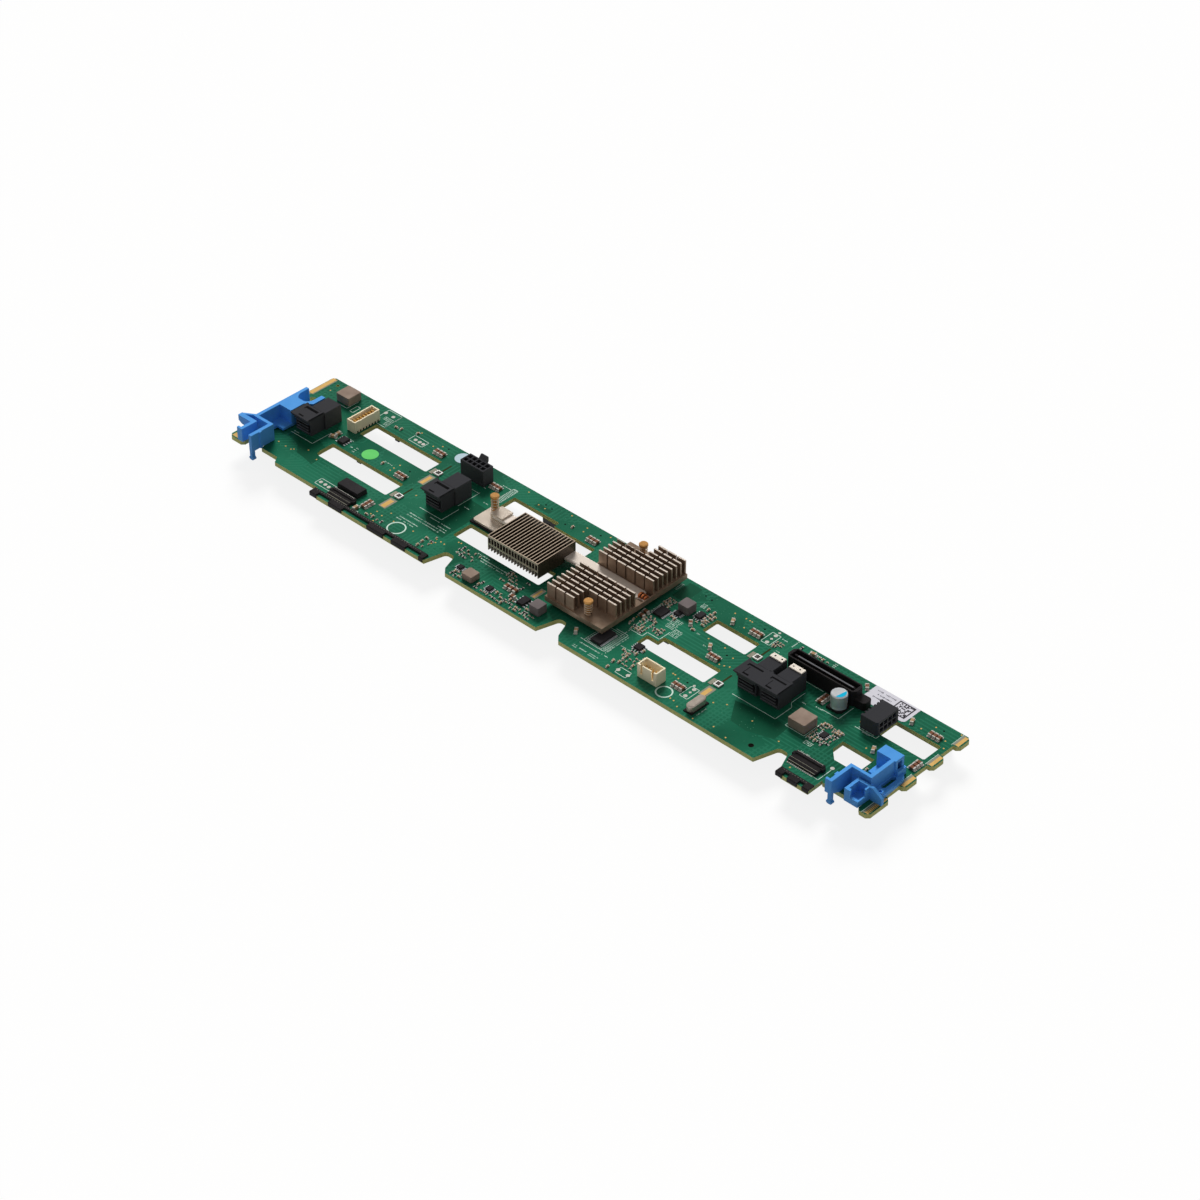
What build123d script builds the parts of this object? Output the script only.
from build123d import *
import os

# Drive bay grid that the board serves: columns from left to right, rows from back to front
COLUMN_COUNT = 4
ROW_COUNT = 3
COLUMN_PITCH = 106.2
ROW_PITCH = 26.7
BACK_ROW_Y = 35.5

# Circuit board, seen from its component side
BOARD_THICKNESS = 2.36
END_REACH = 51.5
BACK_REACH = 38.96
FRONT_REACH = 38.5
SHOULDER_DEPTH = 5.1
LATCH_EDGE_DEPTH = 8.8
TAB_FRONT_DEPTH = 5.5
CORNER_CHAMFER = 1.6
EDGE_TAB_REACH = 3.0
VENT_CORNER_CUT = 0.6
NOTCH_RADIUS = 2.4
LATCH_NOTCH_WIDTH = 9.8
LATCH_NOTCH_DEPTH = 4.0
TOOLING_HOLE_RADIUS = 1.0
DATUM_HOLE_RADIUS = 1.35
LATCH_HOLE_RADIUS = 2.0
PIN_HOLE_RADIUS = 1.5

# Vertical drive receptacles on the hidden side
RECEPTACLE_WIDTH = 42.0
RECEPTACLE_DEPTH = 6.6
RECEPTACLE_HEIGHT = 8.9
RECEPTACLE_OFFSET_X = 21.1
RECEPTACLE_WALL = 1.5
RECEPTACLE_SLOT_WIDTH = 2.6
RECEPTACLE_SLOT_DEPTH = 6.4
RECEPTACLE_EAR_WIDTH = 3.6
RECEPTACLE_EAR_STEP = 1.7
RECEPTACLE_CORNER_CUT = 0.8
RECEPTACLE_KEY_OFFSET = 7.0
RECEPTACLE_KEY_WIDTH = 2.8

# Heat sink over the expander chip
CHIP_SIDE = 27.0
CHIP_HEIGHT = 1.8
CHIP_LID_SIDE = 21.0
CHIP_LID_HEIGHT = 0.7
SINK_CENTRE_X = 22.15
SINK_CENTRE_Y = 6.5
SINK_WIDTH = 37.3
SINK_DEPTH = 59.0
SINK_BASE_HEIGHT = 2.8
FIN_HEIGHT = 7.7
FIN_THICKNESS = 0.9
FIN_ROW_PITCH = 3.157
FIN_ROWS_PER_BANK = 8
FIN_SEGMENTS = 6
FIN_SIDE_MARGIN = 0.925
FIN_ROOT_DEPTH = 0.5
FIN_CORNER_MARGIN = 0.6
SINK_GROOVE_STOP = 0.8
SAW_CUT_WIDTH = 0.85
CORNER_ROWS_CLEARED = 3
CORNER_SEGMENTS_CLEARED = 3

# Flat heat pipe, its fin stack and the bracket that holds its far end
PIPE_WIDTH = 7.9
PIPE_THICKNESS = 2.2
PIPE_TIP_LENGTH = 4.0
PIPE_TIP_WIDTH = 4.4
PIPE_TIP_SHOULDER = 1.4
PIPE_TIP_STEP = 1.0
PIPE_TIP_FLATTENING = 0.5
PIPE_OFFSET_Y = 2.45
PIPE_END_MARGIN = 5.0
PIPE_GROOVE_CLEARANCE = 0.05
STACK_WIDTH = 33.9
STACK_DEPTH = 25.8
STACK_BOTTOM = 2.4
STACK_TOP = 11.0
STACK_PLATES = 18
STACK_PLATE_THICKNESS = 0.45
STACK_TAB_HEIGHT = 1.1
STACK_TAB_THICKNESS = 0.4
STACK_GAP_TO_SINK = 14.0
STACK_BEHIND_PIPE = 0.3
STACK_TAB_LIFT = 0.3
BRACKET_WIDTH = 16.4
BRACKET_DEPTH = 13.8
BRACKET_THICKNESS = 1.2
BRACKET_PAD_HEIGHT = 0.9
BRACKET_PAD_MARGIN = 0.9
BRACKET_CORNER_CUT = 1.0
BRACKET_BEHIND_PIPE = 0.6
BRACKET_GAP_TO_STACK = 7.6
PEDESTAL_WIDTH = 7.8
PEDESTAL_INSET = 1.1
PEDESTAL_ROOF = 1.0
PEDESTAL_WALL = 1.2

# Sprung brass pins that hold the sinks down
PIN_CAP_RADIUS = 2.3
PIN_CAP_HEIGHT = 1.4
PIN_SIDES = 8
PIN_SHANK_RADIUS = 1.1
PIN_BARB_RADIUS = 1.75
PIN_BARB_HEIGHT = 1.7
PIN_BARB_THICKNESS = 1.2
PIN_TOP = 13.3
PIN_CAP_BEVEL = 0.4
PIN_OFFSET_X = 5.85
PIN_INSET_Y = 4.4
BRACKET_PIN_INSET_X = 5.3
BRACKET_PIN_INSET_Y = 3.2
SPRING_WIRE_RADIUS = 0.28
SPRING_RADIUS = 1.8
SPRING_SIDES = 12

# Right-angle data connectors
PORT_WIDTH = 12.5
PORT_HEIGHT = 11.0
PORT_LENGTH = 21.6
PORT_FRONT_LENGTH = 10.5
PORT_REAR_WIDTH = 9.5
PORT_REAR_HEIGHT = 10.2
PORT_WALL = 1.3
PORT_STEP = 1.6
PORT_LIP_STEP = 0.7
PORT_LIP_DEPTH = 2.2
PORT_SHELF_DEPTH = 4.0
PORT_SIDE_STEP = 0.6
PORT_MOUTH_DEPTH = 7.5
PORT_MOUTH_BOTTOM = 1.7
PORT_MOUTH_HEIGHT = 5.4
PORT_TONGUE_THICKNESS = 0.9
PORT_TONGUE_SETBACK = 4.4
PORT_TONGUE_MARGIN = 1.0
PORT_SPLIT_WIDTH = 1.5
PORT_SPLIT_DEPTH = 1.6
PORT_SPLIT_MARGIN = 1.0
PORT_KEY_WIDTH = 4.6
PORT_KEY_DEPTH = 1.1
PORT_KEY_SETBACK = 1.7
PORT_KEY_SINK = 0.8
PORT_BRIDGE_DROP = 0.6
PORT_FRONT_Y = -7.2
PORT_PAIR_PITCH = 13.8
PORT_PAIR_REAR_WIDTH = 8.4
PORT_STRIP_LENGTH = 3.3
PORT_STRIP_HEIGHT = 0.7
PORT_STRIP_MARGIN = 0.4

# Power and signal headers
POWER_PITCH = 3.0
POWER_COLUMNS = 5
POWER_DEPTH = 7.2
POWER_HEIGHT = 9.6
POWER_CELL = 2.3
POWER_CELL_DEPTH = 7.0
POWER_PIN_SIDE = 0.8
POWER_PIN_HEIGHT = 4.0
POWER_END_MARGIN = 1.0
POWER_HOOK_WIDTH = 4.4
POWER_HOOK_DEPTH = 2.7
POWER_HOOK_RISE = 1.9
POWER_HOOK_BEVEL = 1.1
SIDE_HEADER_LENGTH = 9.9
SIDE_HEADER_WIDTH = 15.0
SIDE_HEADER_HEIGHT = 7.6
SIDE_HEADER_PITCH = 3.0
SIDE_HEADER_COLUMNS = 4
SIDE_HEADER_TEETH = 6
SIDE_HEADER_CELL_DEPTH = 6.0
SIDE_HEADER_CORNER = 1.6
SIDE_HEADER_TOOTH_DEPTH = 0.8
SIDE_HEADER_TOOTH_BOTTOM = 3.0
SIDE_HEADER_PIN_SETBACK = 1.2
IVORY_WALL = 0.8
IVORY_FLOOR = 1.2
IVORY_PIN_SIDE = 0.5
FAN_HEADER_PITCH = 2.0
FAN_HEADER_PINS = 7
FAN_HEADER_DEPTH = 6.0
FAN_HEADER_HEIGHT = 6.6
FAN_HEADER_END_MARGIN = 3.3
FAN_KEY_OFFSET = 4.2
FAN_KEY_WIDTH = 2.0
FAN_KEY_BOTTOM = 2.6
FAN_PIN_SETBACK = 1.2
SENSE_HEADER_PITCH = 2.0
SENSE_HEADER_PINS = 4
SENSE_HEADER_DEPTH = 6.5
SENSE_HEADER_HEIGHT = 7.5
SENSE_HEADER_END_MARGIN = 4.0
SENSE_KEY_OFFSET = 3.4
SENSE_KEY_WIDTH = 1.4
SENSE_KEY_BOTTOM = 2.2
SENSE_PIN_SETBACK = 1.4

# Card slot
CARD_SLOT_LENGTH = 41.3
CARD_SLOT_DEPTH = 7.3
CARD_SLOT_HEIGHT = 8.5
CARD_SLOT_SIDE_WALL = 0.9
CARD_SLOT_END_WALL = 1.8
CARD_SLOT_WELL_DEPTH = 5.6
CARD_SLOT_CORNER_CUT = 1.65
CARD_SLOT_BLADE = 1.0
CARD_SLOT_BLADE_MARGIN = 2.6
CARD_SLOT_BLADE_DROP = 0.7
CARD_SLOT_FOOT_LENGTH = 5.4
CARD_SLOT_FOOT_HEIGHT = 4.6
CARD_SLOT_FOOT_INSET = 0.8
CARD_SLOT_FOOT_OVERLAP = 4.0
CARD_SLOT_FOOT_CUT = 1.0

# Can capacitor and crystal
CAN_RADIUS = 4.0
CAN_TOP = 8.7
CAN_BASE_SIDE = 8.3
CAN_BASE_HEIGHT = 1.2
CAN_BASE_CUT = 1.6
CAN_ROLL_HEIGHT = 1.5
CAN_ROLL_DEPTH = 0.3
CAN_ROLL_RISE = 0.6
CAN_RIM = 0.5
CRYSTAL_LENGTH = 11.3
CRYSTAL_WIDTH = 4.5
CRYSTAL_HEIGHT = 3.5
CRYSTAL_BASE_HEIGHT = 0.5
CRYSTAL_BASE_MARGIN = 0.3
CRYSTAL_BEVEL = 0.6

# Small surface parts
CHOKE_EDGE = 0.5
CHIP_DRAFT = 6
LIGHT_SIDE = 3.7
LIGHT_HEIGHT = 0.8
LIGHT_WINDOW = 1.8
LIGHT_WINDOW_DEPTH = 0.5
LIGHT_WINDOW_DROP = 0.2
LIGHT_OFFSET_X = 56.3
RIBBON_HEIGHT = 2.0
RIBBON_BAR_DEPTH = 2.0
RIBBON_BAR_HEIGHT = 0.9
RIBBON_SHELF_RISE = 0.5
RIBBON_FRONT_SLOPE = 1.2
RIBBON_EAR_WIDTH = 1.8
RIBBON_EAR_DEPTH = 2.2
RIBBON_EAR_DROP = 0.3
EDGE_STRIP_HEIGHT = 0.9
EDGE_STRIP_DEPTH = 2.0
EDGE_STRIP_INSET = 4.0
EDGE_FINGER_THICKNESS = 0.5
EDGE_FINGER_DROP = 1.6
EDGE_FINGER_BEVEL = 0.3
EDGE_FINGER_REACH = 3.0
LABEL_THICKNESS = 0.12
LABEL_WIDTH = 26.0
LABEL_DEPTH = 12.4
LABEL_CORNER = 2.0
STICKER_SIDES = 24

# Blue release latches, each one moulding
LATCH_TOP = 9.7
LATCH_WALL = 2.0
LATCH_FLOOR_TOP = 2.0
LATCH_FLOOR_THICKNESS = 1.3
LATCH_PLATE = 1.6
PRONG_BOTTOM = -5.2
PRONG_FOOT_TOP = -3.2
PRONG_FOOT_SPREAD = 0.7
PRONG_DEPTH = 2.0
PRONG_TAPER = 0.6
LATCH_PAD_WIDTH = 3.7
LATCH_PAD_DEPTH = 1.3
LEG_BOTTOM = 2.0
HOOK_HEIGHT = 4.6
HOOK_DEPTH = 2.7

# Places worked out from the sizes above
COLUMN_X = [(column - (COLUMN_COUNT - 1) / 2) * COLUMN_PITCH for column in range(COLUMN_COUNT)]
ROW_Y = [BACK_ROW_Y - row * ROW_PITCH for row in range(ROW_COUNT)]
LEFT = COLUMN_X[0] - END_REACH
RIGHT = COLUMN_X[-1] + END_REACH
BACK = BACK_REACH
FRONT = -FRONT_REACH
SHOULDER_Y = FRONT + SHOULDER_DEPTH
LATCH_EDGE_Y = FRONT + LATCH_EDGE_DEPTH
TAB_FRONT_Y = FRONT + TAB_FRONT_DEPTH
NOTCH_BACK_Y = LATCH_EDGE_Y + LATCH_NOTCH_DEPTH
UNDERSIDE = -BOARD_THICKNESS
REST_Z = UNDERSIDE - RECEPTACLE_HEIGHT
SINK_BOTTOM = CHIP_HEIGHT + CHIP_LID_HEIGHT
SINK_FLOOR = SINK_BOTTOM + SINK_BASE_HEIGHT
PIPE_TOP = SINK_FLOOR
PIPE_BOTTOM = PIPE_TOP - PIPE_THICKNESS
SINK_LEFT = SINK_CENTRE_X - SINK_WIDTH / 2
FIN_SEGMENT_PITCH = (SINK_WIDTH - 2 * FIN_SIDE_MARGIN + SAW_CUT_WIDTH) / FIN_SEGMENTS
PIN_OFFSET_Y = SINK_DEPTH / 2 - PIN_INSET_Y
SINK_FRONT = SINK_CENTRE_Y - SINK_DEPTH / 2
PIPE_Y = SINK_CENTRE_Y + PIPE_OFFSET_Y
STACK_RIGHT = SINK_LEFT - STACK_GAP_TO_SINK
STACK_LEFT = STACK_RIGHT - STACK_WIDTH
STACK_BACK = PIPE_Y + PIPE_WIDTH / 2 - STACK_BEHIND_PIPE
STACK_FRONT = STACK_BACK - STACK_DEPTH
BRACKET_RIGHT = STACK_LEFT - BRACKET_GAP_TO_STACK
BRACKET_LEFT = BRACKET_RIGHT - BRACKET_WIDTH
BRACKET_BACK = PIPE_Y + PIPE_WIDTH / 2 + BRACKET_BEHIND_PIPE
BRACKET_TOP = BRACKET_PAD_HEIGHT + BRACKET_THICKNESS
PEDESTAL_RIGHT = BRACKET_RIGHT - PEDESTAL_INSET
PEDESTAL_LEFT = PEDESTAL_RIGHT - PEDESTAL_WIDTH
PIPE_LEFT = PEDESTAL_LEFT + PEDESTAL_WALL
PIPE_RIGHT = SINK_LEFT + SINK_WIDTH - PIPE_END_MARGIN


def block(x0, x1, y0, y1, z0, z1):
    """Rectangular solid between two corners."""
    middle = Pos((x0 + x1) / 2, (y0 + y1) / 2, (z0 + z1) / 2)
    return middle * Box(x1 - x0, y1 - y0, z1 - z0)


def plan(points, z0, z1):
    """Solid of a plan outline between two heights."""
    return Pos(0, 0, z0) * extrude(Polygon(*points, align=None), z1 - z0, dir=(0, 0, 1))


def rectangle(x0, x1, y0, y1, cut=0):
    """Plan rectangle between two corners, with its own corners cut off where a size is given."""
    outline = Rectangle(x1 - x0, y1 - y0)
    if cut:
        outline = chamfer(outline.vertices(), cut)
    return Pos((x0 + x1) / 2, (y0 + y1) / 2) * outline


def along_x(points, x0, x1):
    """Solid of a side profile, given as (y, z), between two places along the board."""
    return Pos(x0, 0, 0) * extrude(Plane.YZ * Polygon(*points, align=None), x1 - x0, dir=(1, 0, 0))


def along_y(points, y0, y1):
    """Solid of a front profile, given as (x, z), between two places across the board."""
    return Pos(0, y0, 0) * extrude(Plane.XZ * Polygon(*points, align=None), y1 - y0, dir=(0, 1, 0))


def upright(radius, x, y, z0, z1):
    """Upright round solid."""
    return Pos(x, y, (z0 + z1) / 2) * Cylinder(radius, z1 - z0)


def pin_hole(x, y, z0, z1):
    """Eight-sided clearance hole round a pin's shank."""
    return Pos(x, y, z0) * extrude(RegularPolygon(PIN_HOLE_RADIUS, PIN_SIDES), z1 - z0)


# Circuit board
def board_base():
    """Plan of the board without its slots: stepped front edge, latch notches and corner tabs."""
    cut = CORNER_CHAMFER
    left_notch = LEFT + 10.0
    right_notch = RIGHT - 6.8
    first, last = COLUMN_X[0], COLUMN_X[-1]
    edge = RIGHT - EDGE_TAB_REACH
    points = [
        (LEFT, BACK - cut),
        (LEFT, TAB_FRONT_Y + cut),
        (LEFT + cut, TAB_FRONT_Y),
        (left_notch - cut, TAB_FRONT_Y),
        (left_notch, TAB_FRONT_Y + cut),
        (left_notch, NOTCH_BACK_Y),
        (left_notch + LATCH_NOTCH_WIDTH, NOTCH_BACK_Y),
        (left_notch + LATCH_NOTCH_WIDTH + 0.9, LATCH_EDGE_Y),
        (first - 19.1, LATCH_EDGE_Y),
        (first - 16.7, SHOULDER_Y),
        (first + 15.0, SHOULDER_Y),
        (first + 15.5, SHOULDER_Y - 2.6),
        (first + 19.3, FRONT),
        (last + 21.6, FRONT),
        (last + 21.6, LATCH_EDGE_Y + 1.0),
        (last + 22.6, LATCH_EDGE_Y),
        (right_notch - LATCH_NOTCH_WIDTH, LATCH_EDGE_Y),
        (right_notch - LATCH_NOTCH_WIDTH, NOTCH_BACK_Y),
        (right_notch, NOTCH_BACK_Y),
        (right_notch, TAB_FRONT_Y + cut),
        (right_notch + cut, TAB_FRONT_Y),
        (edge, TAB_FRONT_Y),
        (edge, BACK),
        (LEFT + cut, BACK),
    ]
    return Polygon(*points, align=None)


def edge_tab(y0, y1):
    """Grounding tab with cut corners on the right-hand end."""
    foot = RIGHT - EDGE_TAB_REACH - 1.0
    cut = CORNER_CHAMFER
    points = [(foot, y0), (RIGHT - cut, y0), (RIGHT, y0 + cut), (RIGHT, y1 - cut)]
    return Polygon(*points, (RIGHT - cut, y1), (foot, y1), align=None)


def front_notch(x, mouth, throat, top_y):
    """Tapered notch with a rounded top, open to the front edge and eased on its right."""
    ease = 2.8
    lift = 3.0
    lead = (mouth - throat) / 2
    points = [
        (x - mouth / 2, FRONT - 1),
        (x - mouth / 2, FRONT),
        (x - mouth / 2 + lead, top_y),
        (x + mouth / 2 - lead, top_y),
        (x + mouth / 2, FRONT + lift),
        (x + mouth / 2 + ease, FRONT),
        (x + mouth / 2 + ease, FRONT - 1),
    ]
    notch = Polygon(*points, align=None)
    corners = [v for v in notch.vertices() if abs(v.Y - top_y) < 0.01]
    return fillet(corners, NOTCH_RADIUS)


def vent_slots():
    """Cooling slots in front of the two back drive rows, placed from the drive columns."""
    back_y, back_y1 = ROW_Y[1] + 4.2, ROW_Y[1] + 15.85
    front_y, front_y1 = ROW_Y[2] + 3.5, ROW_Y[2] + 15.75
    first, second, third, fourth = COLUMN_X
    corner = VENT_CORNER_CUT
    slots = [
        rectangle(first - 4.2, first + 44.0, back_y, back_y1, corner),
        rectangle(first - 7.6, first + 44.0, front_y, front_y1, corner),
        rectangle(second - 14.6, second + 44.0, back_y, back_y1, corner),
        rectangle(second - 14.6, second + 16.4, back_y, back_y1 + 3.6, corner),
        rectangle(second - 14.4, second + 44.0, front_y, front_y1, corner),
        rectangle(third + 17.4, third + 44.0, back_y + 0.9, back_y1, corner),
        rectangle(third + 8.2, third + 44.0, front_y, front_y1, corner),
        rectangle(third + 1.4, third + 12.0, front_y, front_y1 - 4.3, corner),
        rectangle(fourth + 19.0, fourth + 45.2, back_y, back_y1 + 0.8, corner),
    ]
    cut = 5.3
    corner_slot = Polygon(
        (fourth + 11.0 + cut, front_y), (fourth + 29.4, front_y), (fourth + 29.4, front_y1),
        (fourth + 11.0, front_y1), (fourth + 11.0, front_y + cut), align=None)
    return Sketch() + slots + corner_slot


def pin_places():
    """Plan places of the two sink pins and the bracket pin."""
    return [
        (SINK_CENTRE_X + PIN_OFFSET_X, SINK_CENTRE_Y - PIN_OFFSET_Y),
        (SINK_CENTRE_X - PIN_OFFSET_X, SINK_CENTRE_Y + PIN_OFFSET_Y),
        (BRACKET_LEFT + BRACKET_PIN_INSET_X, BRACKET_BACK - BRACKET_PIN_INSET_Y),
    ]


DATUM_HOLE = (COLUMN_X[-1] - 17.0, FRONT + 5.9)


def circuit_board():
    """The bare board with tabs, notches, cooling slots and holes."""
    outline = board_base()
    tab_rows = [(29.8, BACK), (11.1, 20.7), (-8.1, 2.0), (TAB_FRONT_Y, -17.7)]
    outline += [edge_tab(y0, y1) for y0, y1 in tab_rows]
    outline -= front_notch(COLUMN_X[1] - 4.0, 12.0, 5.8, -26.1)
    outline -= front_notch(COLUMN_X[2] - 34.4, 12.1, 4.7, -25.9)
    outline -= front_notch(COLUMN_X[3] - 3.9, 13.4, 5.3, -25.2)
    outline -= vent_slots()
    outline -= Pos(LEFT + 7.1, BACK - 4.1) * Circle(TOOLING_HOLE_RADIUS)
    outline -= Pos(*DATUM_HOLE) * Circle(DATUM_HOLE_RADIUS)
    outline -= Pos(LEFT + 6.8, BACK - 21.5) * Circle(LATCH_HOLE_RADIUS)
    outline -= [Pos(x, y) * RegularPolygon(PIN_HOLE_RADIUS, PIN_SIDES) for x, y in pin_places()]
    return Pos(0, 0, UNDERSIDE) * extrude(outline, BOARD_THICKNESS)


# Drive receptacles
def drive_receptacle(x, y):
    """Vertical receptacle hanging from the underside, with guide ears and a split tongue slot."""
    half = RECEPTACLE_WIDTH / 2
    ear = RECEPTACLE_EAR_WIDTH
    step = RECEPTACLE_EAR_STEP
    deep = RECEPTACLE_DEPTH / 2
    bottom = REST_Z
    outline = rectangle(x - half, x + half, y - deep, y + deep, RECEPTACLE_CORNER_CUT)
    body = Pos(0, 0, bottom) * extrude(outline, RECEPTACLE_HEIGHT)
    shoulder = step + 1.2
    low = bottom + shoulder
    cuts = [
        block(x - half + ear, x + half - ear, y + deep - step, y + deep + 1, bottom - 1, low),
        block(x - half + ear, x + half - ear, y - deep - 1, y - deep + step, bottom - 1, low),
    ]
    key = x - RECEPTACLE_KEY_OFFSET
    key_half = RECEPTACLE_KEY_WIDTH / 2
    slot_half = RECEPTACLE_SLOT_WIDTH / 2
    slot_top = bottom + RECEPTACLE_SLOT_DEPTH
    left_end = x - half + RECEPTACLE_WALL + 2.2
    right_end = x + half - RECEPTACLE_WALL - 2.2
    cuts += [
        block(left_end, key - key_half, y - slot_half, y + slot_half, bottom - 1, slot_top),
        block(key + key_half, right_end, y - slot_half, y + slot_half, bottom - 1, slot_top),
        block(key - key_half - 0.1, key + key_half + 0.1, y - slot_half, y, bottom - 1, slot_top),
    ]
    return body - cuts


# Heat sinks
def fin_row_places():
    """Front faces of the fin rows, front bank then back bank."""
    bank = (FIN_ROWS_PER_BANK - 1) * FIN_ROW_PITCH
    front = [SINK_FRONT + FIN_THICKNESS + row * FIN_ROW_PITCH for row in range(FIN_ROWS_PER_BANK)]
    back_start = SINK_FRONT + SINK_DEPTH - FIN_THICKNESS - bank
    return front, [back_start + row * FIN_ROW_PITCH for row in range(FIN_ROWS_PER_BANK)]


def large_heat_sink():
    """Extruded sink: finned profile, then saw cuts, two cleared corners and the pipe groove."""
    front_rows, back_rows = fin_row_places()
    right = SINK_LEFT + SINK_WIDTH
    back = SINK_FRONT + SINK_DEPTH
    top = SINK_FLOOR + FIN_HEIGHT
    profile = rectangle(SINK_FRONT, back, SINK_BOTTOM, SINK_FLOOR)
    root = SINK_FLOOR - FIN_ROOT_DEPTH
    profile += [rectangle(y, y + FIN_THICKNESS, root, top) for y in front_rows + back_rows]
    sink = Pos(SINK_LEFT, 0, 0) * extrude(Plane.YZ * profile, SINK_WIDTH)
    first_fin = SINK_LEFT + FIN_SIDE_MARGIN
    cuts = [block(SINK_LEFT - 1, first_fin, SINK_FRONT - 1, back + 1, SINK_FLOOR, top + 1)]
    for segment in range(FIN_SEGMENTS):
        start = first_fin + segment * FIN_SEGMENT_PITCH + FIN_SEGMENT_PITCH - SAW_CUT_WIDTH
        stop = start + SAW_CUT_WIDTH if segment < FIN_SEGMENTS - 1 else right + 1
        cuts.append(block(start, stop, SINK_FRONT - 1, back + 1, SINK_FLOOR, top + 1))
    middle = first_fin + CORNER_SEGMENTS_CLEARED * FIN_SEGMENT_PITCH - SAW_CUT_WIDTH / 2
    corner = CORNER_ROWS_CLEARED * FIN_ROW_PITCH + FIN_CORNER_MARGIN
    cuts.append(block(middle, right + 1, SINK_FRONT - 1, SINK_FRONT + corner, SINK_FLOOR, top + 1))
    cuts.append(block(SINK_LEFT - 1, middle, back - corner, back + 1, SINK_FLOOR, top + 1))
    groove = PIPE_WIDTH / 2 + PIPE_GROOVE_CLEARANCE
    stop = right - SINK_GROOVE_STOP
    cuts.append(block(SINK_LEFT - 1, stop, PIPE_Y - groove, PIPE_Y + groove, PIPE_BOTTOM, top + 1))
    for x, y in pin_places()[:2]:
        cuts.append(pin_hole(x, y, SINK_BOTTOM - 1, SINK_FLOOR + 1))
    return sink - cuts


def expander_chip():
    """Processor package with a raised metal lid under the large sink."""
    half, lid = CHIP_SIDE / 2, CHIP_LID_SIDE / 2
    x, y = SINK_CENTRE_X, SINK_CENTRE_Y
    chip = block(x - half, x + half, y - half, y + half, 0, CHIP_HEIGHT)
    return chip + block(x - lid, x + lid, y - lid, y + lid, CHIP_HEIGHT, SINK_BOTTOM)


def heat_pipe():
    """Flattened tube with round edges and a crimped tip that lies in the sink's groove."""
    half = PIPE_WIDTH / 2
    section = Plane.YZ * (Pos(PIPE_Y, (PIPE_TOP + PIPE_BOTTOM) / 2) * RectangleRounded(
        PIPE_WIDTH, PIPE_THICKNESS, PIPE_THICKNESS / 2 - 0.05))
    tube = Pos(PIPE_LEFT, 0, 0) * extrude(section, PIPE_RIGHT - PIPE_LEFT)
    tip_half = PIPE_TIP_WIDTH / 2
    root_half = half - PIPE_TIP_STEP
    shoulder = PIPE_RIGHT + PIPE_TIP_SHOULDER
    end = PIPE_RIGHT + PIPE_TIP_LENGTH
    tip = plan([
        (PIPE_RIGHT, PIPE_Y - root_half), (shoulder, PIPE_Y - tip_half), (end, PIPE_Y - tip_half),
        (end, PIPE_Y + tip_half), (shoulder, PIPE_Y + tip_half), (PIPE_RIGHT, PIPE_Y + root_half),
    ], PIPE_BOTTOM + PIPE_TIP_FLATTENING, PIPE_TOP - PIPE_TIP_FLATTENING)
    return tube + tip


def fin_stack():
    """Stamped plates: two rows of folded tabs in front and one behind span to the next plate."""
    pitch = (STACK_WIDTH - STACK_PLATE_THICKNESS) / (STACK_PLATES - 1)
    saddle = PIPE_Y - PIPE_WIDTH / 2 - PIPE_GROOVE_CLEARANCE
    side = [
        (STACK_FRONT, STACK_BOTTOM), (saddle, STACK_BOTTOM), (saddle, PIPE_TOP),
        (STACK_BACK, PIPE_TOP), (STACK_BACK, STACK_TOP), (STACK_FRONT, STACK_TOP),
    ]
    upper, lower = STACK_TOP - STACK_TAB_HEIGHT, PIPE_TOP + STACK_TAB_LIFT
    tabs = [(STACK_FRONT, upper), (STACK_FRONT, lower), (STACK_BACK - STACK_TAB_THICKNESS, upper)]
    plates = []
    for number in range(STACK_PLATES):
        x = STACK_LEFT + number * pitch
        plate = along_x(side, x, x + STACK_PLATE_THICKNESS)
        if number < STACK_PLATES - 1:
            for y, bottom in tabs:
                tab_top = bottom + STACK_TAB_HEIGHT
                plate += block(x, x + pitch, y, y + STACK_TAB_THICKNESS, bottom, tab_top)
        plates.append(plate)
    return plates


def bracket_plate():
    """Plated foot with a roofed pedestal that holds the end of the heat pipe."""
    front = BRACKET_BACK - BRACKET_DEPTH
    base = rectangle(BRACKET_LEFT, BRACKET_RIGHT, front, BRACKET_BACK, BRACKET_CORNER_CUT)
    plate = Pos(0, 0, BRACKET_PAD_HEIGHT) * extrude(base, BRACKET_THICKNESS)
    half = PIPE_WIDTH / 2
    roof = PIPE_TOP + PEDESTAL_ROOF
    plate += block(PEDESTAL_LEFT, PEDESTAL_RIGHT, PIPE_Y - half, PIPE_Y + half, BRACKET_PAD_HEIGHT, roof)
    seat = half + PIPE_GROOVE_CLEARANCE
    end = PIPE_LEFT - PIPE_GROOVE_CLEARANCE
    plate -= block(end, BRACKET_RIGHT + 1, PIPE_Y - seat, PIPE_Y + seat, PIPE_BOTTOM, PIPE_TOP)
    x, y = pin_places()[2]
    return plate - pin_hole(x, y, 0, PIPE_TOP)


def bracket_pad():
    """Insulating pad under the bracket."""
    margin = BRACKET_PAD_MARGIN
    front = BRACKET_BACK - BRACKET_DEPTH
    pad = block(BRACKET_LEFT - margin, BRACKET_RIGHT, front - margin, BRACKET_BACK, 0, BRACKET_PAD_HEIGHT)
    x, y = pin_places()[2]
    return pad - pin_hole(x, y, -1, BRACKET_PAD_HEIGHT + 1)


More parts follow.
